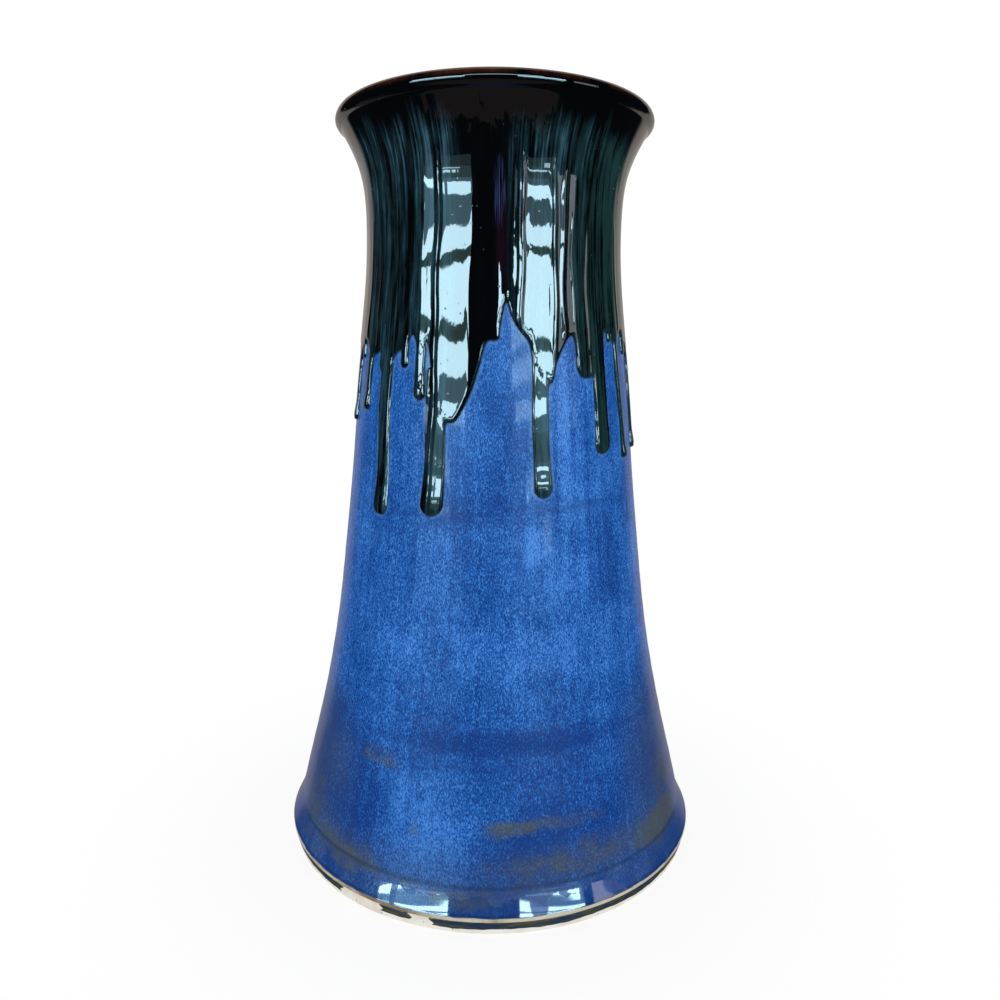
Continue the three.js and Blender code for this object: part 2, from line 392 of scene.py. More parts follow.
@dataclass(frozen=True)
class BlueGlaze:
    """A mottled cobalt glaze that pools in the cove and breaks to cream and olive over the bead; the cream is
    partly a painted highlight.
    """

    deep: tuple = (0.0010, 0.036, 0.220)
    middle: tuple = (0.0040, 0.108, 0.45)
    pale: tuple = (0.066, 0.265, 0.76)
    olive: tuple = (0.090, 0.100, 0.040)
    brown: tuple = (0.055, 0.082, 0.130)
    fringe: tuple = (0.10, 0.27, 0.66)
    teal: tuple = (0.004, 0.040, 0.105)
    pool: tuple = (0.004, 0.042, 0.23)
    line: tuple = (0.005, 0.020, 0.070)
    # Cream over the bead: the glaze breaking thin there, and also a painted highlight standing for the
    # floor's reflection on the bead
    break_and_floor_highlight: tuple = (0.68, 0.63, 0.46)
    # Olive patches where the glaze ran thin: azimuth, height, half-width, half-height
    thin: tuple = ((-34, 56, 13, 6), (3, 36, 11, 5), (20, 37, 24, 4), (-42, 18, 15, 11), (58, 20, 18, 9),
                   (-62, 26, 14, 16), (5, 13, 26, 4), (100, 40, 18, 7), (150, 24, 26, 8), (-140, 46, 20, 6),
                   (-100, 20, 18, 9), (-20, 34, 4, 5), (30, 24, 40, 9), (66, 36, 14, 16))
    # Broad lighter and darker clouds: azimuth, height, half-width, half-height, how light
    clouds: tuple = ((-14, 34, 17, 30, 0.30), (-24, 28, 12, 34, 0.16), (-19, 128, 10, 26, 0.16),
                     (27, 168, 4, 52, 0.46), (33, 150, 4, 44, 0.30), (14, 138, 6, 10, 0.42),
                     (-4, 98, 44, 12, 0.10),
                     (22, 112, 12, 24, 0.12), (-32, 96, 12, 40, 0.08), (6, 100, 16, 40, 0.06),
                     (34, 140, 16, 9, -0.22), (44, 124, 12, 16, -0.16), (8, 66, 44, 6, -0.24),
                     (-60, 46, 20, 26, -0.20), (62, 44, 20, 40, -0.18), (20, 30, 30, 16, -0.16),
                     (-44, 150, 8, 30, -0.12), (-6, 152, 20, 8, -0.10), (120, 90, 26, 50, 0.16),
                     (-130, 110, 22, 50, 0.14), (175, 60, 30, 24, -0.16), (-160, 150, 18, 30, 0.12))
    # Darker bands left by the thrower's fingers: height, half-width, azimuth, half-reach
    bands: tuple = ((148, 5, -10, 70), (152, 4, 30, 40), (64, 4, 18, 75), (69, 3, 45, 60), (58, 3, 0, 60),
                    (140, 4, 150, 90), (90, 5, -160, 90), (66, 4, 170, 100))

    def make(self) -> bpy.types.Material:
        """Builds the material."""
        material, graph = new_material("blue_glaze")
        space = GlazeSpace(graph)
        fine = space.noise(0.40 * MM, 0.95 * MM, 2.0, 0.7, 2.0)
        grain = space.noise(1.5 * MM, 4.0 * MM, 2.0, 0.6, 4.0)
        cloud = space.noise(16 * MM, 26 * MM, 4.0, 0.6, 5.0)
        streak = space.noise(2.4 * MM, 70 * MM, 3.0, 0.6, 12.0)
        low = space.height.ramp(105 * MM, 20 * MM)

        broad = self._clouds(space) + (cloud - 0.5) * 0.9 + (streak - 0.5) * 0.55 - low * 0.22
        tone = (fine - 0.5) * 3.6 + (grain - 0.5) * 0.6 + broad * 1.15 + 0.46
        colour = graph.blend(tone.ramp(0.02, 0.60), self.deep, self.middle)
        colour = graph.blend(tone.ramp(0.50, 1.10) * (1.0 - low * 0.25), colour, self.pale)

        veil = self._veil(space) * (cloud * 1.2 - 0.1)
        colour = graph.blend(veil, colour, self.brown)

        band = self._bands(space) * space.noise(30 * MM, 2.5 * MM, 3.0, 0.6, 21.0).ramp(0.35, 0.65)
        colour = graph.blend(band * 0.5, colour, self.deep)
        olive = self._thin(space, fine)
        colour = graph.blend(olive, colour, self.olive)

        edge = graph.value("ShaderNodeAttribute", "Fac", {"attribute_name": "under_pour"})
        feathered = edge.ramp(0.10, 0.55) * space.noise(2.5 * MM, 6 * MM, 2.0, 0.6, 26.0).ramp(0.35, 0.65)
        colour = graph.blend(feathered * 0.5, colour, self.fringe)
        colour = graph.blend(edge.ramp(0.55, 0.95) * 0.9, colour, self.teal)
        colour = self._foot(graph, space, colour, fine, cloud)

        pooled = self._pool_shine(space)
        rough = fine * 0.10 + cloud * 0.14 + 0.22 - pooled * 0.28
        skin = (space.noise(1.4 * MM, 2.4 * MM, 2.0, 0.5, 31.0) * 0.6
                + space.noise(8 * MM, 10 * MM, 1.0, 0.5, 33.0) * 0.4)
        calm = skin * (1.0 - pooled * 0.6)
        flecks = space.noise(3.0 * MM, 4.0 * MM, 2.0, 0.6, 35.0).ramp(0.66, 0.71)
        gloss = pooled + flecks * 0.35 + 0.12
        surface(graph, colour, rough.highest(0.04), relief(graph, calm, 0.05 * MM),
                {"IOR": 1.45, "Specular IOR Level": 0.2, "Coat Weight": gloss.lowest(1.0),
                 "Coat Roughness": 0.045, "Coat IOR": 1.8})
        return material

    def _pool_shine(self, space: GlazeSpace) -> Value:
        """Where the pool in the cove is mirror-bright: ragged above, and kept dull round the sides."""
        ragged = (space.noise(6 * MM, 5 * MM, 3.0, 0.6, 37.0) - 0.5) * (13.0 * MM)
        dull = (space.spot(12, 12 * MM, 3.6 * MM, 9 * MM) + space.spot(-24, 12 * MM, 1.4 * MM, 9 * MM)
                + space.spot(38, 12 * MM, 13 * MM, 9 * MM) + space.spot(-75, 12 * MM, 40 * MM, 9 * MM)
                + space.spot(78, 12 * MM, 40 * MM, 9 * MM))
        return (space.height + ragged).ramp(12.9 * MM, 12.5 * MM) * dull.ramp(0.62, 0.42)

    def _clouds(self, space: GlazeSpace) -> Value:
        """The broad lighter and darker clouds, summed."""
        total: Any = 0.0
        for azimuth, height, wide, tall, light in self.clouds:
            total = space.spot(azimuth, height * MM, wide * MM, tall * MM) * light + total
        return total

    def _veil(self, space: GlazeSpace) -> Value:
        """A thin brown cast low on both sides and round the hem of the wall."""
        sides = space.spot(-66, 42 * MM, 30 * MM, 40 * MM) + space.spot(66, 40 * MM, 30 * MM, 50 * MM)
        back = space.spot(170, 30 * MM, 60 * MM, 30 * MM) * 0.7
        return (sides + back + space.height.ramp(36 * MM, 14 * MM) * 0.65).lowest(0.8)

    def _bands(self, space: GlazeSpace) -> Value:
        """The finger bands' mask."""
        mask: Any = 0.0
        for height, half, azimuth, reach in self.bands:
            across = space.spot(azimuth, height * MM, reach * MM, 1.0)
            mask = space.height.bump(height * MM, half * MM) * across + mask
        return mask.lowest(1.0)

    def _thin(self, space: GlazeSpace, fine: Value) -> Value:
        """Where the glaze ran thin over the clay: the listed patches, made ragged, and the last of the wall.
        """
        mask: Any = 0.0
        for azimuth, height, wide, tall in self.thin:
            mask = space.spot(azimuth, height * MM, wide * MM, tall * MM) + mask
        ragged = space.noise(6 * MM, 7 * MM, 4.0, 0.65, 41.0)
        uneven = space.noise(22 * MM, 9 * MM, 3.0, 0.6, 43.0).ramp(0.42, 0.68)
        hem = space.height.ramp(30 * MM, 12 * MM) * uneven
        patchy = (mask * 0.75 + hem * 0.7 + (ragged - 0.5) * 1.6 + (fine - 0.5) * 1.2 - 0.25).ramp(0.0, 0.95)
        return patchy * 0.60 * (mask * 2.0 + hem).lowest(1.0) * space.height.ramp(8.4 * MM, 9.6 * MM)

    def _foot(self, graph: Graph, space: GlazeSpace, colour: Any, fine: Value, cloud: Value) -> Any:
        """The cove's pool, the dark line over it, and the bead's cream band: glaze breaking thin, and a
        painted highlight for the floor's reflection.
        """
        z = space.height
        pooled = z.ramp(17.5 * MM, 14 * MM)
        colour = graph.blend(pooled * cloud.ramp(0.62, 0.42) * 0.6, colour, self.pool)
        colour = graph.blend(z.bump(16.4 * MM, 1.3 * MM) * 0.45, colour, self.line)
        colour = graph.blend(z.bump(8.0 * MM, 0.6 * MM) * 0.55, colour, self.line)
        ragged = space.noise(5 * MM, 0.8 * MM, 3.0, 0.6, 51.0)
        # Painted highlight, partly real: a cream to tan band round the bead for the glaze breaking thin and
        # for the floor's reflection on it
        break_and_floor_highlight = (z + (ragged - 0.5) * (1.2 * MM)).bump(6.55 * MM, 1.25 * MM).ramp(0.12, 0.6)
        break_and_highlight_colour = graph.blend(cloud.ramp(0.45, 0.68), self.break_and_floor_highlight, (0.26, 0.19, 0.085))
        return graph.blend(break_and_floor_highlight * (fine * 0.25 + 0.8), colour, break_and_highlight_colour)


@dataclass(frozen=True)
class DarkGlaze:
    """A black glaze streaked with teal, red-brown where it thins over the lip."""

    black: tuple = (0.0007, 0.0010, 0.0016)
    teal: tuple = (0.015, 0.050, 0.070)
    pale: tuple = (0.060, 0.150, 0.210)
    green: tuple = (0.008, 0.034, 0.028)
    violet: tuple = (0.045, 0.070, 0.20)
    edge: tuple = (0.006, 0.042, 0.085)
    rust: tuple = (0.070, 0.018, 0.007)
    wine: tuple = (0.020, 0.004, 0.014)

    def make(self) -> bpy.types.Material:
        """Builds the material."""
        material, graph = new_material("dark_glaze")
        space = GlazeSpace(graph)
        depth = graph.value("ShaderNodeAttribute", "Fac", {"attribute_name": "glaze_depth"})
        z = space.height

        broad = space.noise(5.5 * MM, 70 * MM, 2.0, 0.5, 3.0)
        streak = space.noise(1.3 * MM, 36 * MM, 3.0, 0.62, 6.0)
        hair = space.noise(0.42 * MM, 14 * MM, 2.0, 0.6, 8.0)
        top = z + (space.noise(5 * MM, 400 * MM, 3.0, 0.6, 11.0) - 0.5) * (26 * MM)
        below_lip = top.ramp(290 * MM, 279 * MM)
        centre = space.spot(-4, 250 * MM, 15 * MM, 300 * MM).ramp(0.0, 0.75)
        amount = below_lip * (1.0 - centre * 0.97)

        feather = space.noise(3.2 * MM, 9 * MM, 3.0, 0.6, 27.0)
        tone = (streak - 0.5) * 1.6 + (hair - 0.5) * 0.8 + (broad - 0.5) * 1.6 + (feather - 0.5) * 0.7
        colour = graph.blend(((tone + 0.22) * 1.6).highest(0.0) * amount, self.black, self.teal)
        wisps = ((tone - 0.10) * 2.2).highest(0.0) * amount
        colour = graph.blend(wisps * (top.ramp(250 * MM, 279 * MM) * 0.75 + 0.14), colour, self.pale)
        greener = space.east.ramp(0.25, 0.95) * (tone + 0.2).ramp(-0.1, 0.3) * amount * 0.8
        colour = graph.blend(greener, colour, self.green)
        wine = space.spot(3.0, 246 * MM, 3.2 * MM, 20 * MM) * (streak * 1.6 - 0.45).highest(0.0)
        colour = graph.blend(wine, colour, self.wine)
        violet = space.spot(2.0, 262 * MM, 3.0 * MM, 13 * MM) * ((hair - 0.5) * 7.0 + 0.2).highest(0.0)
        colour = graph.blend(violet * 0.7, colour, self.violet)

        thin = depth.ramp(0.55 * MM, 0.12 * MM)
        colour = graph.blend(thin * 0.8, colour, self.edge)
        lip = z.ramp(296.6 * MM, 298.8 * MM) * space.noise(9 * MM, 30 * MM, 4.0, 0.65, 14.0).ramp(0.35, 0.7)
        colour = graph.blend(lip * 0.9, colour, self.rust)

        pits = graph.value("ShaderNodeTexVoronoi", "Distance", None,
                           {"Vector": space.place, "Scale": 1.0 / (3.4 * MM), "Randomness": 1.0})
        pitted = space.noise(12 * MM, 12 * MM, 1.0, 0.5, 17.0).ramp(0.5, 0.62)
        pits = pits.ramp(0.13, 0.04) * pitted
        swell = space.noise(5 * MM, 34 * MM, 1.5, 0.5, 19.0)
        grain = space.noise(1.3 * MM, 3 * MM, 1.0, 0.5, 23.0)
        rough = grain * 0.015 + pits * 0.4 + 0.014
        normal = relief(graph, swell * 0.8 + grain * 0.05 - pits * 0.5, 0.09 * MM)
        surface(graph, colour, rough, normal, {"IOR": 1.7})
        return material


@dataclass(frozen=True)
class LinerGlazeFinish:
    """A plain dark blue-grey glaze that makes the inside watertight."""

    deep: tuple = (0.006, 0.014, 0.030)
    pale: tuple = (0.030, 0.060, 0.11)

    def make(self) -> bpy.types.Material:
        """Builds the material."""
        material, graph = new_material("liner_glaze")
        space = GlazeSpace(graph)
        tone = space.noise(4 * MM, 22 * MM, 4.0, 0.6, 61.0)
        speck = space.noise(0.8 * MM, 1.0 * MM, 2.0, 0.5, 63.0)
        colour = graph.blend((tone * 0.7 + speck * 0.5 - 0.1).ramp(0.3, 0.75), self.deep, self.pale)
        surface(graph, colour, speck * 0.08 + 0.14, relief(graph, tone, 0.05 * MM), {"IOR": 1.5})
        return material


@dataclass(frozen=True)
class FootGlaze:
    """The dark band on the foot: navy where it is thick, olive where it thins over the clay."""

    navy: tuple = (0.012, 0.032, 0.080)
    olive: tuple = (0.070, 0.074, 0.032)
    thin: tuple = (0.22, 0.17, 0.09)

    def make(self) -> bpy.types.Material:
        """Builds the material."""
        material, graph = new_material("foot_glaze")
        space = GlazeSpace(graph)
        depth = graph.value("ShaderNodeAttribute", "Fac", {"attribute_name": "glaze_depth"})
        tone = space.noise(7 * MM, 1.6 * MM, 4.0, 0.65, 71.0)
        colour = graph.blend(tone.ramp(0.42, 0.62), self.navy, self.olive)
        colour = graph.blend(depth.ramp(0.30 * MM, 0.05 * MM) * 0.8, colour, self.thin)
        skin = space.noise(1.5 * MM, 1.5 * MM, 2.0, 0.5, 73.0)
        surface(graph, colour, tone * 0.15 + 0.16, relief(graph, skin, 0.04 * MM), {"IOR": 1.5})
        return material


@dataclass(frozen=True)
class StudioPaper:
    """Seamless pale paper that glows a little, so the light on the vase is soft from all sides."""

    paper: tuple = (0.25, 0.25, 0.25)
    glow: float = 0.765

    def make(self) -> bpy.types.Material:
        """Builds the material."""
        material, graph = new_material("studio_paper")
        space = GlazeSpace(graph)
        tooth = space.noise(2 * MM, 2 * MM, 2.0, 0.5, 81.0)
        colour = graph.blend(tooth * 0.04, self.paper, (0.2, 0.2, 0.2))
        surface(graph, colour, 0.9, relief(graph, tooth, 0.02 * MM),
                {"Emission Color": (1.0, 1.0, 1.0, 1.0), "Emission Strength": self.glow, "IOR": 1.1})
        return material


# ---------------------------------------------------------------------------------------------
# Shapes


class SmoothCurve:
    """A natural cubic spline through a few points."""

    def __init__(self, at: Sequence[float], values: Sequence[float]) -> None:
        """Solves for the curvature at each point.

        Args:
            at: The points' rising places.
            values: What the curve passes through there.
        """
        self.at = np.asarray(at, float)
        self.values = np.asarray(values, float)
        step = np.diff(self.at)
        slope = np.diff(self.values) / step
        count = len(self.at)
        matrix = np.eye(count)
        right = np.zeros(count)
        for i in range(1, count - 1):
            matrix[i, i - 1:i + 2] = step[i - 1], 2 * (step[i - 1] + step[i]), step[i]
            right[i] = 6 * (slope[i] - slope[i - 1])
        self.bend = np.linalg.solve(matrix, right)

    def __call__(self, where: Any) -> np.ndarray:
        """The curve's value at one place or many."""
        x = np.clip(np.asarray(where, float), self.at[0], self.at[-1])
        i = np.clip(np.searchsorted(self.at, x) - 1, 0, len(self.at) - 2)
        h = self.at[i + 1] - self.at[i]
        a = (self.at[i + 1] - x) / h
        b = 1 - a
        arch = ((a ** 3 - a) * self.bend[i] + (b ** 3 - b) * self.bend[i + 1]) * h * h / 6
        return a * self.values[i] + b * self.values[i + 1] + arch


class RoundCurve:
    """A curve round the vase through low and high points, flat at each one and never past it."""

    def __init__(self, points: Iterable[tuple[float, float]]) -> None:
        """Chooses a slope at each point.

        Args:
            points: Azimuth in degrees and value, in order round the vase.
        """
        listed = np.array(sorted(points), float)
        before, after = listed[-2:] - (360, 0), listed[:2] + (360, 0)
        self.at, self.values = np.vstack([before, listed, after]).T
        step = np.diff(self.at)
        slope = np.diff(self.values) / step
        same = slope[1:] * slope[:-1] > 0
        total = np.where(same, slope[1:] + slope[:-1], 1.0)
        inner = np.where(same, 2 * slope[1:] * slope[:-1] / total, 0.0)
        self.slopes = np.concatenate([[0.0], inner, [0.0]])

    def __call__(self, azimuth: Any) -> np.ndarray:
        """The curve's value at one azimuth or many."""
        first = self.at[2]
        x = np.mod(np.asarray(azimuth, float) - first, 360) + first
        i = np.clip(np.searchsorted(self.at, x, side="right") - 1, 0, len(self.at) - 2)
        h = self.at[i + 1] - self.at[i]
        t = (x - self.at[i]) / h
        rise = t * t * (3 - 2 * t)
        lead = t * (1 - t) ** 2 * h * self.slopes[i]
        trail = t * t * (t - 1) * h * self.slopes[i + 1]
        return self.values[i] * (1 - rise) + self.values[i + 1] * rise + lead + trail


WALL = SmoothCurve(WALL_HEIGHTS, WALL_RADII)


def stepped(start: float, end: float, step: float) -> np.ndarray:
    """Even steps from start up to end, with both ends."""
    return np.linspace(start, end, max(2, round(abs(end - start) / step) + 1))


def rounded(corners: Sequence[tuple[float, float]], step: float) -> np.ndarray:
    """A smooth path through a few points.

    Args:
        corners: Radius and height of each point.
        step: The new points' spacing.

    Returns:
        The path's points, one row each.
    """
    points = np.asarray(corners, float)
    reach = np.concatenate([[0.0], np.cumsum(np.hypot(*np.diff(points, axis=0).T))])
    along = stepped(0.0, reach[-1], step)
    return np.column_stack([SmoothCurve(reach, points[:, axis])(along) for axis in (0, 1)])


def outward(path: np.ndarray) -> np.ndarray:
    """Unit normals of a path of radius and height, on its right-hand side as it is followed."""
    along = np.gradient(path, axis=0)
    normal = np.column_stack([along[:, 1], -along[:, 0]])
    return normal / np.hypot(*normal.T)[:, None]


def wall_path(bottom: float, top: float, depth: float, step: float) -> np.ndarray:
    """The wall's outline, set in from the glaze's face.

    Args:
        bottom: The lowest height.
        top: The highest height.
        depth: How far in from the face.
        step: Spacing of the rows.

    Returns:
        Radius and height of each row, going up.
    """
    heights = stepped(bottom, top, step)
    return np.column_stack([WALL(heights) - depth, heights])


def bore_path(bottom: float, top: float, depth: float, step: float) -> np.ndarray:
    """The bore's outline, set in from the bare clay: the wall thins evenly from foot to lip."""
    path = wall_path(bottom, top, CLAY_DEPTH, step)
    path[:, 0] -= np.interp(path[:, 1], [0, CAD_HIGH.z], [7 * MM, 5 * MM]) + depth
    return path


# The seat of the dark glaze round the clay's lip, from outside to inside
LIP_SEAT = rounded(np.array([(60.45, 294.05), (61.75, 295.0), (62.5, 295.9), (62.5, 297.0), (61.9, 298.2),
                             (60.8, 299.0), (59.6, 299.1), (58.6, 298.5), (57.7, 297.2), (56.5, 295.2),
                             (54.5, 292.2), (52.5, 289.6), (51.3, 287.6), (50.7, 286.4),
                             (50.25, 285.45)]) * MM, 0.7 * MM)


def mesh_object(name: str, vertices: np.ndarray, faces: list, material: bpy.types.Material | None,
                depth: np.ndarray | None = None, normals: np.ndarray | None = None) -> bpy.types.Object:
    """Makes a smooth mesh object.

    Args:
        name: The object's name.
        vertices: Vertex positions.
        faces: Vertex indices of each face.
        material: Its material, if it has one yet.
        depth: Glaze depth at each vertex, kept as an attribute.
        normals: Vertex normals, where they are known better than the faces tell.

    Returns:
        The linked object.
    """
    mesh = bpy.data.meshes.new(name)
    mesh.from_pydata(vertices.tolist(), [], faces)
    if depth is not None:
        mesh.attributes.new("glaze_depth", "FLOAT", "POINT").data.foreach_set("value", depth)
    if faces:
        mesh.polygons.foreach_set("use_smooth", [True] * len(mesh.polygons))
    if normals is not None:
        mesh.normals_split_custom_set_from_vertices(normals.tolist())
    if material:
        mesh.materials.append(material)
    made = bpy.data.objects.new(name, mesh)
    bpy.context.scene.collection.objects.link(made)
    return made


class Outline(Enum):
    """How a turned piece's outline ends."""

    ON_AXIS = "starts and ends on the axis"
    LOOP = "closes on itself"


@dataclass
class ThrownForm:
    """Turns an outline into a solid, with the thrower's rings, in a tree of geometry nodes.

    The tree spreads a grid round the axis, one row for each point of the outline, and joins its seam.
    """

    columns: int = 360
    ring_pitch: float = 9 * MM
    ring_height: float = 0.0
    waver: float = 0.0
    seed: float = 4.0
    tree: bpy.types.NodeTree | None = field(default=None, init=False)
    keys: dict = field(default_factory=dict, init=False)

    SOCKETS = (("Columns", "NodeSocketInt"), ("Ring Pitch", "NodeSocketFloat"),
               ("Ring Height", "NodeSocketFloat"), ("Waver", "NodeSocketFloat"),
               ("Seed", "NodeSocketFloat"), ("Material", "NodeSocketMaterial"))

    def _build(self) -> None:
        """Builds the tree, once for this form."""
        self.tree = bpy.data.node_groups.new("thrown_form", "GeometryNodeTree")
        graph = Graph(self.tree)
        face = self.tree.interface
        face.new_socket("Geometry", in_out="INPUT", socket_type="NodeSocketGeometry")
        face.new_socket("Geometry", in_out="OUTPUT", socket_type="NodeSocketGeometry")
        for name, kind in self.SOCKETS:
            self.keys[name] = face.new_socket(name, in_out="INPUT", socket_type=kind).identifier
        given = graph.node("NodeGroupInput").outputs
        outline = given["Geometry"]
        columns, pitch, height, waver, seed = (
            Value(graph, given[name]) for name, _ in self.SOCKETS[:5])

        rows = graph.value("GeometryNodeAttributeDomainSize", "Point Count", None, {0: outline})
        grid = graph.node("GeometryNodeMeshGrid", None, {"Vertices X": columns + 1, "Vertices Y": rows})
        index = graph.value("GeometryNodeInputIndex")
        column = ((index + 0.5) / rows).floor()
        row = index - column * rows
        place = graph.node("GeometryNodeInputPosition").outputs[0]
        point = graph.node("GeometryNodeSampleIndex", {"data_type": "FLOAT_VECTOR"},
                           {"Geometry": outline, "Value": place, "Index": row}).outputs[0]
        free = graph.node("GeometryNodeInputNamedAttribute", {"data_type": "FLOAT"}, {"Name": "free"})
        give = graph.value("GeometryNodeSampleIndex", 0, {"data_type": "FLOAT"},
                           {"Geometry": outline, "Value": free.outputs[0], "Index": row})
        parts = graph.node("ShaderNodeSeparateXYZ", None, {0: point}).outputs
        radius, _, z = (Value(graph, part) for part in parts)

        turn = column / columns * math.tau
        east, south = turn.sine(), turn.cosine()
        ring = (z / pitch * math.tau + turn).sine()
        cloudy = graph.value("ShaderNodeTexNoise", "Fac", {"noise_dimensions": "4D"},
                             {"Vector": graph.vector(east, south, z * 22.0), "W": seed, "Scale": 1.6,
                              "Detail": 2.0})
        pushed = radius + give * (ring * height * cloudy + (cloudy - 0.5) * waver)
        spread = graph.vector(east * pushed, -(south * pushed), z)
        shaped = graph.node("GeometryNodeSetPosition", None,
                            {"Geometry": grid.outputs[0], "Position": spread})
        joined = graph.node("GeometryNodeMergeByDistance", None,
                            {"Geometry": shaped.outputs[0], "Distance": 1e-6})
        smooth = graph.node("GeometryNodeSetShadeSmooth", None, {"Geometry": joined.outputs[0]})
        real = graph.node("GeometryNodeRealizeInstances", None, {"Geometry": smooth.outputs[0]})
        dressed = graph.node("GeometryNodeSetMaterial", None,
                             {"Geometry": real.outputs[0], "Material": given["Material"]})
        graph.node("NodeGroupOutput", None, {0: dressed.outputs[0]})

    def make(self, name: str, outline: np.ndarray, ends: Outline, material: bpy.types.Material,
             free: np.ndarray | None = None) -> bpy.types.Object:
        """Turns one piece.

        Args:
            name: The piece's name.
            outline: Radius and height of each point, going up the outside first.
            ends: Whether the outline ends on the axis or closes on itself.
            material: The piece's material.
            free: How far each point follows the thrower's rings, 0 to 1.

        Returns:
            A plain mesh object.
        """
        if self.tree is None:
            self._build()
        free = np.zeros(len(outline)) if free is None else free
        if ends is Outline.LOOP:
            outline, free = np.vstack([outline, outline[:1]]), np.append(free, free[0])
        points = np.column_stack([outline[:, 0], np.zeros(len(outline)), outline[:, 1]])
        pattern = mesh_object(name + "_outline", points, [], None)
        pattern.data.attributes.new("free", "FLOAT", "POINT").data.foreach_set("value", free)
        modifier = pattern.modifiers.new("thrown_form", "NODES")
        modifier.node_group = self.tree
        sizes = (int(self.columns), self.ring_pitch, self.ring_height, self.waver, self.seed, material)
        for (socket, _), value in zip(self.SOCKETS, sizes):
            modifier[self.keys[socket]] = value
        evaluated = pattern.evaluated_get(bpy.context.evaluated_depsgraph_get())
        mesh = bpy.data.meshes.new_from_object(evaluated)
        mesh.name = name
        pattern.modifiers.remove(modifier)
        bpy.data.objects.remove(pattern)
        made = bpy.data.objects.new(name, mesh)
        bpy.context.scene.collection.objects.link(made)
        return made


# ---------------------------------------------------------------------------------------------
# The pour of dark glaze. Inside these classes lengths are in millimetres.


@dataclass(frozen=True)
class Run:
    """One bead of glaze hanging from the collar.

    Attributes:
        start: Azimuth where it leaves the hem.
        end: Azimuth at its tip.
        tip: Height of its tip.
        width: Its width.
        cut: Height below which it is a piece of its own, or 0 for a short drip of the collar.
    """

    start: float
    end: float
    tip: float
    width: float
    cut: float = 0.0

    def middle(self, z: np.ndarray) -> np.ndarray:
        """Azimuth of its middle line at a height, with a slight wander."""
        drop = np.clip((self.cut + 6 - z) / (self.cut + 6 - self.tip), 0, 1) if self.cut else 0.5
        return self.start + (self.end - self.start) * drop + 0.28 * np.sin(z / 7.3 + self.start)

    def reach(self, azimuth: np.ndarray, z: np.ndarray, radius: np.ndarray) -> np.ndarray:
        """Distance inside the run's edge, in millimetres, below zero outside it."""
        half = self.width / 2 * (0.86 + 0.14 * np.exp(-((z - self.tip) / self.width) ** 2 / 2))
        turn = np.mod(azimuth - self.middle(z) + 180, 360) - 180
        across = np.radians(turn) * radius
        below = np.minimum(z - self.tip - half, 0)
        return half - np.hypot(across, below)


def fused(first: np.ndarray, second: np.ndarray, fillet: float) -> np.ndarray:
    """The higher of two distances, with a fillet where they meet."""
    near = np.maximum(fillet - np.abs(first - second), 0) / fillet
    return np.maximum(first, second) + near * near * fillet / 4


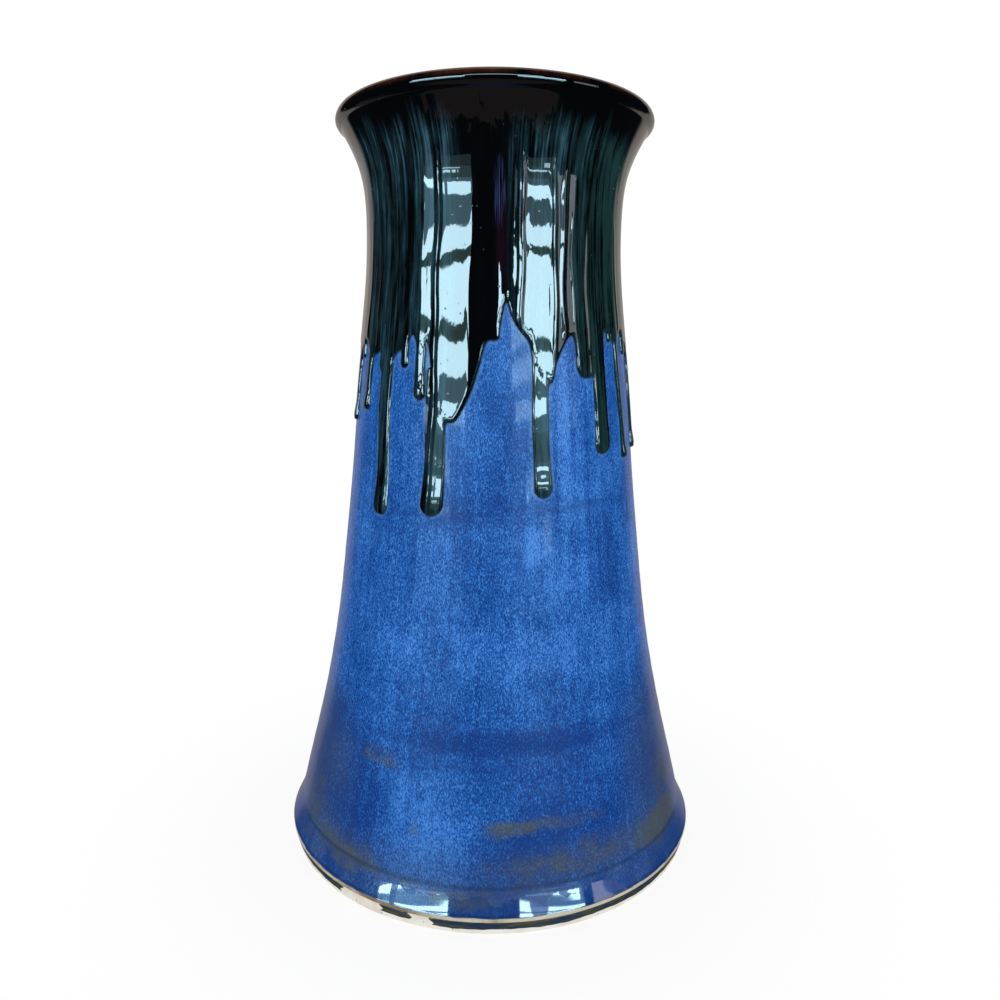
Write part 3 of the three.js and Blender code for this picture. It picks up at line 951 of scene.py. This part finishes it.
@dataclass
class Pour:
    """The dark glaze as it lies: its hem, its runs and how thick it stands at every place."""

    # The hem between the runs: azimuth and height
    hem_points: tuple = (
        (-82, 210), (-74, 206), (-66, 212), (-59, 206.5), (-54.6, 206.5), (-51, 208), (-46, 205),
        (-42.3, 206),
        (-38.4, 208.5), (-33, 213.5), (-28.7, 209), (-26.2, 211), (-23, 196), (-17.5, 182.5), (-15, 182),
        (-8.7, 191.5), (-5.2, 202), (-2.7, 210.5), (0.5, 213), (3, 219.5), (5, 225), (6.8, 220), (9.5, 215.5),
        (13.7, 210.5), (18, 200), (22.3, 196.5), (25.1, 204.5), (32, 213.5), (35.6, 207), (40, 207),
        (43, 209), (46, 206), (51, 216), (54, 215), (57.5, 213), (60, 210), (66, 216), (72, 212), (79, 207),
        (86, 213), (95, 207), (103, 215), (111, 203), (119, 212), (127, 207), (135, 218), (142, 208),
        (151, 212), (158, 200), (168, 216), (177, 206), (186, 213), (193, 208), (200, 212), (208.5, 199),
        (218, 217), (226.5, 206), (234, 211), (243, 200), (252, 214), (260, 207), (268, 212))
    # Long runs: azimuth at the hem, azimuth at the tip, width, and the height where each parts from the hem
    long_runs: tuple = (
        (-74, -74, 4.6, 202), (-59, -59, 4.4, 203), (-46, -44.5, 7.4, 200), (-28.7, -28.2, 4.6, 205),
        (-21, -21.7, 9.2, 178), (17.6, 17.9, 7.2, 193), (46.1, 45.5, 8.2, 203), (59.2, 61.7, 3.5, 206),
        (79, 79, 4.8, 203), (110, 111, 8.0, 198), (127, 126, 4.6, 203), (159, 158, 8.4, 196),
        (177, 177.5, 4.8, 202), (209, 208, 8.0, 195), (226, 227, 4.6, 202), (243, 243.5, 7.4, 196))
    # Short drips: azimuth, tip height, width
    drips: tuple = ((-48.9, 200.5, 3.4), (-36, 201.5, 3.6), (0.9, 211.5, 3.2), (38, 198, 8.4),
                    (53.8, 211.5, 2.8),
                    (-67.5, 205, 2.8), (70, 207, 3.4), (95, 199, 4.2), (142, 195, 6.0), (193, 199, 4.0),
                    (260, 200, 4.4), (-90, 204, 3.2), (168, 210, 3.0), (218, 211, 3.2))
    # Ridges left by rivulets higher up the collar: azimuth, top height, how proud
    rivulets: tuple = (
        (-64, 258, 0.16), (-53, 268, 0.20), (-41, 262, 0.18), (-34.5, 250, 0.14), (-29, 270, 0.26),
        (-22.4, 283, 0.62), (-9.2, 262, 0.12), (1.5, 250, 0.10), (10.6, 286, 0.60), (14.2, 262, 0.10),
        (24.2, 282, 0.50), (28.5, 276, 0.34), (33.5, 268, 0.30), (41, 262, 0.20), (52, 266, 0.20),
        (63, 258, 0.16), (76, 262, 0.16), (92, 268, 0.26), (104, 258, 0.16), (114, 274, 0.34),
        (129, 262, 0.16),
        (146, 270, 0.26), (161, 278, 0.46), (172, 258, 0.14), (188, 266, 0.22), (205, 276, 0.42),
        (216, 258, 0.16), (231, 268, 0.24), (246, 274, 0.32), (262, 260, 0.16), (277, 264, 0.18))
    hem_edge: float = 2.6       # how far the hem takes to reach full thickness
    run_edge: float = 1.35      # and the side of a run
    crown: float = 0.10         # how much thicker a run is along its middle
    bead: float = 0.55          # and at its tip
    lip_height: float = 286.0

    def __post_init__(self) -> None:
        """Takes each long run's tip from its solid in the frame."""
        self.hem = RoundCurve(self.hem_points)
        self.runs = [Run(start, end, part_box(self.node(i))[0].z / MM, width, cut)
                     for i, (start, end, width, cut) in enumerate(self.long_runs)]
        self.short = [Run(azimuth, azimuth, tip, width) for azimuth, tip, width in self.drips]

    @staticmethod
    def node(index: int) -> str:
        """The name of a long run's CAD node."""
        return f"glaze_run_{index + 1:02d}"

    def reach(self, azimuth: np.ndarray, z: np.ndarray) -> np.ndarray:
        """Distance inside the glaze's edge, in millimetres, below zero where there is no glaze.

        Args:
            azimuth: Degrees round the vase.
            z: Heights in millimetres.

        Returns:
            The distance at each place.
        """
        radius = WALL(z * MM) / MM
        step = 0.2
        tilt = np.degrees(self.hem(azimuth + step) - self.hem(azimuth - step)) / (2 * step) / radius
        inside = np.clip((z - self.hem(azimuth)) / np.sqrt(1 + tilt * tilt), -FAR, FAR)
        for run in (*self.runs, *self.short):
            hanging = np.where(z < self.hem(run.start) + FAR, run.reach(azimuth, z, radius), -FAR)
            inside = fused(inside, hanging, RUN_FILLET)
        return inside

    def thickness(self, azimuth: np.ndarray, z: np.ndarray) -> np.ndarray:
        """The glaze's thickness in millimetres at each place, SKIN at its edge."""
        radius = WALL(z * MM) / MM
        reach = self.reach(azimuth, z)
        below = np.clip((self.hem(azimuth) - z) / 4 + 0.3, 0, 1)
        full = DARK_DEPTH / MM - SKIN / MM + self.crown * below * np.clip(reach / 3, 0, 1)
        for run in self.runs:
            turn = np.radians(np.mod(azimuth - run.middle(z) + 180, 360) - 180) * radius
            swell = ((z - run.tip - run.width * 0.55) / (run.width * 0.75)) ** 2 + (turn / run.width) ** 2
            full = full + self.bead * np.exp(-swell)
        edge = np.clip(reach / (self.hem_edge + (self.run_edge - self.hem_edge) * below), 0, 1)
        body = full * np.sqrt(1 - (1 - edge) ** 4)
        calm = np.clip((self.lip_height - z) / 12, 0, 1)
        for at, top, proud in self.rivulets:
            wander = 0.5 * np.sin(z / 13.0 + at) + 0.25 * np.sin(z / 5.1 + 2 * at)
            turn = np.radians(np.mod(azimuth - at + 180, 360) - 180) * radius + wander
            length = np.clip((top - z) / 14, 0, 1) * edge
            body = body + proud * np.exp(-(turn / 0.95) ** 2) * length
        for waves, phase, size in ((7, 0.4, 0.05), (13, 2.1, 0.04), (23, 4.4, 0.03), (37, 1.2, 0.02)):
            ripple = np.sin(np.radians(azimuth) * waves + phase + 0.7 * np.sin(z / 34 + waves))
            body = body + size * calm * edge * ripple
        return SKIN / MM + np.maximum(body, 0)


# ---------------------------------------------------------------------------------------------
# Skins of glaze


@dataclass
class GlazeSkin:
    """A closed skin on a turned seat, cut along the line where its glaze runs out.

    Attributes:
        seat: Radius and height of the seat's rows, in metres.
        azimuths: The columns, in degrees.
        reach: Distance inside the glaze's edge, in millimetres, by azimuth and height.
        thickness: Thickness in millimetres, by azimuth and height.
        whole_turn: Whether the columns go right round.
        keep: Which cells belong to this skin, by azimuth and height, or all of them.
    """

    seat: np.ndarray
    azimuths: np.ndarray
    reach: Callable
    thickness: Callable
    whole_turn: bool = False
    keep: Callable | None = None

    def __post_init__(self) -> None:
        """Works out the seat's normals."""
        self.normals = outward(self.seat)

    def _seat_at(self, rows: np.ndarray) -> tuple[np.ndarray, ...]:
        """Radius, height and normal at fractional rows."""
        index = np.arange(len(self.seat))
        radius, height = (np.interp(rows, index, self.seat[:, k]) for k in (0, 1))
        out, up = (np.interp(rows, index, self.normals[:, k]) for k in (0, 1))
        return radius, height, out, up

    def _face(self, azimuth: np.ndarray, rows: np.ndarray, lift: bool = True) -> np.ndarray:
        """Points of the skin's face, or of its back."""
        radius, height, out, up = self._seat_at(rows)
        raised = self.thickness(azimuth, height / MM) * MM if lift else 0.0
        radius, height = radius + out * raised, height + up * raised
        angle = np.radians(azimuth)
        return np.column_stack([radius * np.sin(angle), -radius * np.cos(angle), height])

    def _cells(self) -> tuple[list, np.ndarray, np.ndarray]:
        """The cut grid: its faces, and each vertex's azimuth and row."""
        count_rows, count_columns = len(self.seat), len(self.azimuths)
        height = self.seat[:, 1] / MM
        field_value = self.reach(*np.meshgrid(self.azimuths, height))
        inside = field_value > 0
        last = count_columns if self.whole_turn else count_columns - 1
        step = 360 / count_columns
        numbers: dict = {}
        places: list = []

        def vertex(key: tuple, azimuth: float, row: float) -> int:
            """The number of a vertex, made when it is first asked for."""
            if key not in numbers:
                numbers[key] = len(places)
                places.append((azimuth, row))
            return numbers[key]

        faces = []
        for i in range(count_rows - 1):
            for j in range(last):
                across = (j + 1) % count_columns
                corners = ((i, j), (i, across), (i + 1, across), (i + 1, j))
                filled = [inside[corner] for corner in corners]
                if not any(filled):
                    continue
                here = self.azimuths[j]
                there = self.azimuths[across] if across else here + step
                if self.keep and not self.keep((here + there) / 2, (height[i] + height[i + 1]) / 2):
                    continue
                spots = ((here, i), (there, i), (there, i + 1), (here, i + 1))
                face = []
                for k in range(4):
                    following = (k + 1) % 4
                    if filled[k]:
                        face.append(vertex(corners[k], *spots[k]))
                    if filled[k] != filled[following]:
                        a, b = field_value[corners[k]], field_value[corners[following]]
                        t = a / (a - b)
                        key = (*min(corners[k], corners[following]), *max(corners[k], corners[following]))
                        azimuth = spots[k][0] + (spots[following][0] - spots[k][0]) * t
                        row = spots[k][1] + (spots[following][1] - spots[k][1]) * t
                        face.append(vertex(key, azimuth, row))
                faces.append(face)
        azimuth, rows = np.array(places).T
        return faces, azimuth, rows

    def make(self, name: str, material: bpy.types.Material) -> bpy.types.Object:
        """Builds the closed skin: face, back, and a wall along every free edge.

        Args:
            name: The piece's name.
            material: Its material.

        Returns:
            The mesh object.
        """
        faces, azimuth, rows = self._cells()
        front = self._face(azimuth, rows)
        back = self._face(azimuth, rows, lift=False)
        nudge = 0.12
        span = len(self.seat) - 1
        along = self._face(azimuth + nudge, rows) - self._face(azimuth - nudge, rows)
        climb = (self._face(azimuth, np.minimum(rows + nudge, span))
                 - self._face(azimuth, np.maximum(rows - nudge, 0)))
        normal = np.cross(along, climb)
        normal /= np.linalg.norm(normal, axis=1)[:, None]
        _, _, out, up = self._seat_at(rows)
        angle = np.radians(azimuth)
        under = -np.column_stack([out * np.sin(angle), -out * np.cos(angle), up])

        count = len(front)
        edges = {(face[k], face[(k + 1) % len(face)]) for face in faces for k in range(len(face))}
        rims = [(a, b) for a, b in edges if (b, a) not in edges]
        backs = [[count + v for v in reversed(face)] for face in faces]
        walls = [[b, a, count + a, count + b] for a, b in sorted(rims)]
        depth = np.concatenate([np.linalg.norm(front - back, axis=1), np.zeros(count)])
        return mesh_object(name, np.vstack([front, back]), faces + backs + walls, material, depth,
                           np.vstack([normal, under]))


# ---------------------------------------------------------------------------------------------
# The vase's sub-assemblies


def enlist(piece: bpy.types.Object, slot: str, *nodes: str) -> None:
    """Gives a finished piece its place in the frame and reports it.

    Args:
        piece: The finished piece.
        slot: Not used.
        nodes: The CAD nodes it stands for.
    """
    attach(piece, ROOT)
    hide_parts(*nodes)
    triangles = sum(len(face.vertices) - 2 for face in piece.data.polygons)
    LOG.info("%-20s %7d triangles", piece.name, triangles)


@dataclass
class ClayBody:
    """The thrown and trimmed pot under its glaze: all that shows of it is the foot."""

    columns: int = 240
    foot_ring: float = 76 * MM
    recess: float = 3 * MM
    floor_top: float = 10 * MM
    groove: float = 2.6 * MM
    groove_depth: float = 0.12 * MM

    def outline(self) -> np.ndarray:
        """The whole outline, from the middle of the recess round to the middle of the floor."""
        across = stepped(0.0, self.foot_ring - 4 * MM, 0.65 * MM)
        turned = self.recess + self.groove_depth * np.sin(across * math.tau / self.groove)
        turned[0] = turned[1]
        foot = rounded(np.array([(72.6, 2.9), (73.6, 2.5), (74.6, 1.2), (75.4, 0.25), (76.4, 0.02), (79, 0.0),
                                 (83, 0.0), (86.2, 0.03), (87.1, 0.22), (87.52, 0.75), (87.6, 1.6),
                                 (87.6, 3.0),
                                 (87.6, 5.0)]) * MM, 0.45 * MM)
        bead = rounded(np.array([(87.75, 5.35), (88.08, 5.75), (88.2, 6.4), (88.0, 7.2), (87.4, 8.2),
                                 (86.8, 9.2), (86.35, 10.2)]) * MM, 0.4 * MM)
        wall = wall_path(11 * MM, 293 * MM, CLAY_DEPTH, 4 * MM)
        lip = LIP_SEAT - outward(LIP_SEAT) * (0.12 * MM)
        bore = bore_path(30 * MM, 283 * MM, 0.0, 5 * MM)[::-1]
        low, _ = bore[-1]
        floor = rounded([(low - 1.2 * MM, 24 * MM), (low - 4.6 * MM, 16.5 * MM), (low - 10 * MM, 12 * MM),
                         (low - 17 * MM, 10.2 * MM), (40 * MM, self.floor_top),
                         (12 * MM, self.floor_top)], 2 * MM)
        middle = [(0.0, self.floor_top)]
        return np.vstack([np.column_stack([across, turned]), foot, bead, wall, lip, bore, floor, middle])

    def build(self) -> None:
        """Builds the body and puts it in the frame."""
        form = ThrownForm(columns=self.columns)
        enlist(form.make("clay_body_thrown", self.outline(), Outline.ON_AXIS, BareClay().make()),
               "clay", "clay_body")


@dataclass
class Liner:
    """The glaze inside, over the bore and the floor."""

    columns: int = 240
    thickness: float = 0.6 * MM
    seat: float = 0.1 * MM

    def outline(self) -> np.ndarray:
        """Its loop from the axis up the back, over the top and down the face."""
        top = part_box("liner_glaze")[1].z
        body = ClayBody()

        def layer(depth: float) -> np.ndarray:
            """One side of the skin, from its middle outwards and up."""
            bore = bore_path(30 * MM, top, depth, 4 * MM)
            low = bore[0, 0]
            floor = rounded([(12 * MM, body.floor_top + depth), (40 * MM, body.floor_top + depth),
                             (low - 17 * MM, 10.2 * MM + depth), (low - 10 * MM, 12 * MM + depth),
                             (low - 4.6 * MM, 16.5 * MM + depth / 2), (low - 1.2 * MM, 24 * MM)], 2 * MM)
            return np.vstack([[(0.0, body.floor_top + depth)], floor, bore])

        back, front = layer(self.seat), layer(self.seat + self.thickness)
        brim = [((back[-1, 0] + front[-1, 0]) / 2, top + 0.2 * MM)]
        return np.vstack([back, brim, front[::-1]])

    def build(self) -> None:
        """Builds the liner and puts it in the frame."""
        form = ThrownForm(columns=self.columns)
        enlist(form.make("liner_glaze_skin", self.outline(), Outline.ON_AXIS, LinerGlazeFinish().make()),
               "liner_glaze", "liner_glaze")


@dataclass
class BlueCoat:
    """The blue glaze outside, from the bead at the foot to the underside of the lip."""

    pour: Pour
    columns: int = 384
    top: float = 292 * MM
    ring_pitch: float = 11 * MM
    ring_height: float = 0.06 * MM
    waver: float = 0.30 * MM
    calm_above: float = 140 * MM

    def outline(self) -> tuple[np.ndarray, np.ndarray]:
        """Its loop up the face and down the back, and how far each point follows the thrower's rings."""
        bead_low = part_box("blue_glaze_coat")[0].z
        bead_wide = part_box("blue_glaze_coat")[1].x
        foot = rounded([(87.92 * MM, bead_low + 0.75 * MM), (88.45 * MM, 5.55 * MM), (88.85 * MM, 6.0 * MM),
                        (bead_wide - 0.02 * MM, 6.6 * MM), (88.9 * MM, 7.2 * MM), (88.62 * MM, 7.8 * MM),
                        (88.2 * MM, 8.6 * MM), (87.75 * MM, 9.5 * MM)], 0.3 * MM)
        face = wall_path(10.2 * MM, self.top, 0.0, 1.5 * MM)
        back_foot = rounded(np.array([(86.5, 10.2), (86.95, 9.2), (87.5, 8.3), (88.1, 7.3), (88.32, 6.4),
                                      (88.2, 5.7),
                                      (87.85, 5.32)]) * MM, 0.6 * MM)
        back = wall_path(12 * MM, self.top, COAT_DEPTH, 11 * MM)[::-1]
        loop = np.vstack([foot, face, back, back_foot])
        free = np.zeros(len(loop))
        start, stop = len(foot), len(foot) + len(face)
        heights = face[:, 1]
        free[start:stop] = (np.clip((heights - 17 * MM) / (10 * MM), 0, 1)
                            * np.clip((self.calm_above - heights) / (25 * MM), 0, 1))
        return loop, free

    def build(self) -> None:
        """Builds the coat, marks where the dark glaze lies near, and puts it in the frame."""
        loop, free = self.outline()
        form = ThrownForm(self.columns, self.ring_pitch, self.ring_height, self.waver)
        coat = form.make("blue_glaze_skin", loop, Outline.LOOP, BlueGlaze().make(), free)
        places = np.empty(len(coat.data.vertices) * 3)
        coat.data.vertices.foreach_get("co", places)
        x, y, z = places.reshape(-1, 3).T
        inside = self.pour.reach(np.degrees(np.arctan2(x, -y)), z / MM)
        near = np.where(z > self.calm_above - 5 * MM, np.exp(np.minimum(inside, 0) / 0.9), 0.0)
        coat.data.attributes.new("under_pour", "FLOAT", "POINT").data.foreach_set("value", near)
        enlist(coat, "blue_glaze", "blue_glaze_coat")


@dataclass
class DarkGlazePour:
    """The collar of dark glaze over the neck and lip, and every long run that hangs from it."""

    pour: Pour
    columns: int = 540
    hem_bottom: int = 178
    hem_top: int = 230
    row: float = 1.0
    upper_row: float = 2.3
    run_column: float = 0.34
    run_row: float = 0.5
    aside: float = 1.6          # degrees of bare wall kept on each side of a run

    def build(self) -> None:
        """Builds the collar and the runs and puts them in the frame."""
        finish = DarkGlaze().make()
        low = wall_path(self.hem_bottom * MM, self.hem_top * MM, -CLEAR, self.row * MM)
        high = wall_path((self.hem_top + self.upper_row) * MM, 293 * MM, -CLEAR, self.upper_row * MM)
        columns = np.arange(self.columns) * 360 / self.columns

        def collared(azimuth: float, z: float) -> bool:
            """Whether a place belongs to the collar rather than to a run."""
            return not any(self._owns(run, azimuth, z) for run in self.pour.runs)

        collar = GlazeSkin(np.vstack([low, high, LIP_SEAT]), columns, self.pour.reach, self.pour.thickness,
                           True, collared)
        enlist(collar.make("dark_glaze_collar_skin", finish), "dark_glaze", "dark_glaze_collar")
        for i, run in enumerate(self.pour.runs):
            enlist(self._run(i, run, finish), "dark_glaze", self.pour.node(i))

    def _stretch(self, run: Run) -> tuple[float, float]:
        """The stretch of wall that belongs to a run below its parting height, in degrees."""
        beside = math.degrees(run.width / 2 / RUN_RADIUS) + self.aside
        return min(run.start, run.end) - beside, max(run.start, run.end) + beside

    def _owns(self, run: Run, azimuth: float, z: float) -> bool:
        """Whether a place belongs to a run's own piece."""
        low, high = self._stretch(run)
        return z < run.cut and (azimuth - low) % 360 < high - low

    def _run(self, index: int, run: Run, finish: bpy.types.Material) -> bpy.types.Object:
        """Builds one run, from where it parts from the collar down to its tip."""
        seat = wall_path((run.tip - 1.5) * MM, run.cut * MM, -CLEAR, self.run_row * MM)
        columns = stepped(*self._stretch(run), self.run_column)
        skin = GlazeSkin(seat, columns, self.pour.reach, self.pour.thickness)
        return skin.make(self.pour.node(index) + "_bead", finish)


@dataclass
class FootBands:
    """The dark band round the foot's edge, wiped bare in places."""

    bands: tuple = ((-27.5, -19.5), (-14.0, 94.0), (103.0, 188.0), (197.0, 319.5))
    bottom: float = 2.2
    top: float = 5.15
    thick: float = 0.42
    column: float = 0.45
    row: float = 0.16

    def _reach(self, band: tuple[float, float], azimuth: np.ndarray, z: np.ndarray) -> np.ndarray:
        """Distance inside one band's ragged edge, in millimetres."""
        start, end = band
        turn = np.radians(azimuth) * FOOT_WALL / MM
        ragged = (0.10 * np.sin(turn / 1.7) + 0.08 * np.sin(turn / 0.83 + 1.3)
                  + 0.28 * np.sin(turn / 6.1 + 0.6))
        lean = 0.9 * np.sin(z * 2.1 + start)
        left = np.radians(azimuth - start) * FOOT_WALL / MM + lean
        right = np.radians(end - azimuth) * FOOT_WALL / MM - lean
        return np.minimum(np.minimum(left, right), z - self.bottom - ragged * 0.7)

    def _thickness(self, band: tuple[float, float], azimuth: np.ndarray, z: np.ndarray) -> np.ndarray:
        """Thickness of one band, in millimetres."""
        edge = np.clip(self._reach(band, azimuth, z) / 1.1, 0, 1)
        upper = np.clip((self.top + 0.12 - z) / 0.6, 0, 1)
        return SKIN / MM + self.thick * (1 - (1 - edge) ** 2) ** 0.7 * (0.45 + 0.55 * upper)

    def build(self) -> None:
        """Builds every band and puts it in the frame."""
        finish = FootGlaze().make()
        for i, band in enumerate(self.bands):
            heights = stepped(0.95, self.top, self.row) * MM
            seat = np.column_stack([np.full(len(heights), FOOT_WALL + CLEAR), heights])
            columns = stepped(band[0] - 2, band[1] + 2, self.column)
            skin = GlazeSkin(seat, columns, lambda a, z, b=band: self._reach(b, a, z),
                             lambda a, z, b=band: self._thickness(b, a, z))
            enlist(skin.make(f"foot_band_{i + 1:02d}_glaze", finish), "dark_glaze", f"foot_band_{i + 1:02d}")


# ---------------------------------------------------------------------------------------------
# The studio


@dataclass(frozen=True)
class SoftBox:
    """A flat light that stands round the vase and faces it.

    Attributes:
        azimuths: Its left and right edges, in degrees.
        elevations: Its lower and upper edges, in degrees above the vase's middle.
        glow: Its brightness.
        tint: Its colour.
    """

    azimuths: tuple
    elevations: tuple
    glow: float
    tint: tuple = (0.57, 0.86, 1.0)

    def place(self, distance: float, aim: Vector) -> None:
        """Makes the light at a distance from the point it faces."""
        left, right = self.azimuths
        bottom, top = (distance * math.tan(math.radians(e)) for e in self.elevations)
        width = 2 * distance * math.tan(math.radians(right - left) / 2)
        middle = math.radians((left + right) / 2)
        data = bpy.data.lights.new("soft_box", "AREA")
        data.shape = "RECTANGLE"
        data.size = width
        data.size_y = top - bottom
        data.energy = self.glow * math.pi * width * (top - bottom)
        data.color = self.tint
        box = bpy.data.objects.new("soft_box", data)
        box.location = (aim.x + distance * math.sin(middle), aim.y - distance * math.cos(middle),
                        aim.z + (bottom + top) / 2)
        box.rotation_euler = (math.pi / 2, 0, middle)
        box.visible_camera = False
        box.visible_diffuse = False
        bpy.context.scene.collection.objects.link(box)


@dataclass
class Studio:
    """A pale seamless room, rows of soft boxes in front on both sides, and the camera."""

    room: float = 5.5
    box_distance: float = 4.0
    aim: Vector = field(default_factory=lambda: Vector((0, 0, 0.21)))
    # The two tall windows in rows of panes, the dim view between the panes, a grey screen and a high strip
    boxes: tuple = (
        SoftBox((-57, -20.5), (14.6, 19.5), 14.0), SoftBox((-57, -20.5), (10.6, 13.3), 13.5),
        SoftBox((-57, -41.0), (4.3, 6.4), 13.0), SoftBox((-38.0, -22.0), (5.0, 7.6), 12.0),
        SoftBox((-46, -33), (1.0, 2.1), 9.5), SoftBox((-42, -32), (-0.2, 0.3), 7.5),
        SoftBox((15, 48), (13.6, 19.5), 14.0), SoftBox((15, 48), (10.4, 12.6), 13.5),
        SoftBox((18, 46), (5.8, 8.1), 13.0), SoftBox((26, 44), (0.7, 1.5), 8.5),
        SoftBox((39, 45), (-2.8, -0.5), 6.5),
        SoftBox((-57, -20.5), (4.0, 10.6), 1.55, (0.40, 0.80, 1.0)),
        SoftBox((-57, -20.5), (-1.0, 4.0), 0.7, (0.45, 0.85, 0.90)),
        SoftBox((-57, -20.5), (13.3, 14.6), 0.6, (0.45, 0.85, 0.75)),
        SoftBox((-57, -20.5), (-8.0, -1.0), 0.35, (0.50, 0.82, 0.90)),
        SoftBox((15, 48), (4.0, 10.4), 1.2, (0.40, 0.80, 1.0)),
        SoftBox((15, 48), (-1.0, 4.0), 0.6, (0.45, 0.85, 0.90)),
        SoftBox((15, 48), (12.6, 13.6), 0.6, (0.45, 0.85, 0.75)),
        SoftBox((15, 48), (-6.0, -1.0), 0.35, (0.50, 0.82, 0.90)),
        SoftBox((53, 72), (3.0, 18.0), 1.7, (0.9, 0.93, 1.0)),
        SoftBox((-22, 34), (25.0, 29.0), 11.0))
    camera_place: tuple = (0.0, -0.3464, 0.2054)
    camera_pitch: float = 10.02
    camera_roll: float = 0.4
    lens: float = 28.96
    shift: float = 0.0078

    def build(self) -> None:
        """Builds the room, the lights and the camera."""
        self._room()
        self._surroundings()
        for box in self.boxes:
            box.place(self.box_distance, self.aim)
        self._camera()

    def _room(self) -> None:
        """One closed sweep of pale paper: floor, wall and ceiling in one piece."""
        r = self.room
        sweep = rounded([(0.9 * r, 0.06 * r), (r, 0.22 * r), (r, 0.45 * r), (0.8 * r, 0.72 * r),
                         (0.35 * r, 0.84 * r)], 0.05 * r)
        outline = np.vstack([[(0.0, 0.84 * r)], sweep[::-1], [(0.75 * r, 0.0), (0.2 * r, 0.0), (0.0, 0.0)]])
        outline[:, 1] -= 0.0002
        paper = ThrownForm(columns=96).make("studio_sweep", outline, Outline.ON_AXIS, StudioPaper().make())
        paper.visible_glossy = False

    def _surroundings(self) -> None:
        """What the glaze mirrors besides the soft boxes: dim in front, a pale wall behind."""
        world = bpy.data.worlds.new("surroundings")
        bpy.context.scene.world = world
        world.use_nodes = True
        graph = Graph(world.node_tree)
        way = graph.node("ShaderNodeTexCoord").outputs["Generated"]
        x, y, z = (Value(graph, s) for s in graph.node("ShaderNodeSeparateXYZ", None, {0: way}).outputs)
        behind = (y / ((x * x + y * y).root() + 1e-6)).ramp(0.66, 0.74)
        ragged = graph.value("ShaderNodeTexNoise", "Fac", None, {"Vector": way, "Scale": 9.0, "Detail": 2.0})
        aside = x / ((x * x + y * y).root() + 1e-6)
        ahead = aside.ramp(-0.92, -0.86) * aside.ramp(0.80, 0.74)
        below = (z + (ragged - 0.5) * 0.6).ramp(-0.50, -0.53) * ahead
        colour = graph.blend(behind, (0.010, 0.012, 0.015), (0.52, 0.47, 0.43))
        colour = graph.blend(below * (1.0 - behind), colour, (0.105, 0.088, 0.08))
        back = graph.node("ShaderNodeBackground", None, {"Color": colour, "Strength": 1.0})
        graph.node("ShaderNodeOutputWorld", None, {"Surface": back.outputs[0]})

    def _camera(self) -> None:
        """A hand-held view from the front, a little above the vase's middle."""
        data = bpy.data.cameras.new("camera")
        data.lens = self.lens
        data.sensor_width = 36.0
        data.shift_x = self.shift
        data.clip_start = 0.01
        data.clip_end = 100.0
        camera = bpy.data.objects.new("camera", data)
        tilt = Matrix.Rotation(math.radians(90 - self.camera_pitch), 4, "X")
        roll = Matrix.Rotation(math.radians(self.camera_roll), 4, "Z")
        camera.matrix_world = Matrix.Translation(self.camera_place) @ tilt @ roll
        bpy.context.scene.collection.objects.link(camera)
        bpy.context.scene.camera = camera


def main() -> None:
    """Builds the vase and its studio, in order."""
    logging.basicConfig(level=logging.INFO, format="%(message)s")
    bpy.context.scene.view_settings.view_transform = "Standard"
    pour = Pour()
    Studio().build()
    for part in (ClayBody(), Liner(), BlueCoat(pour), DarkGlazePour(pour), FootBands()):
        part.build()


if __name__ == "__main__":
    main()
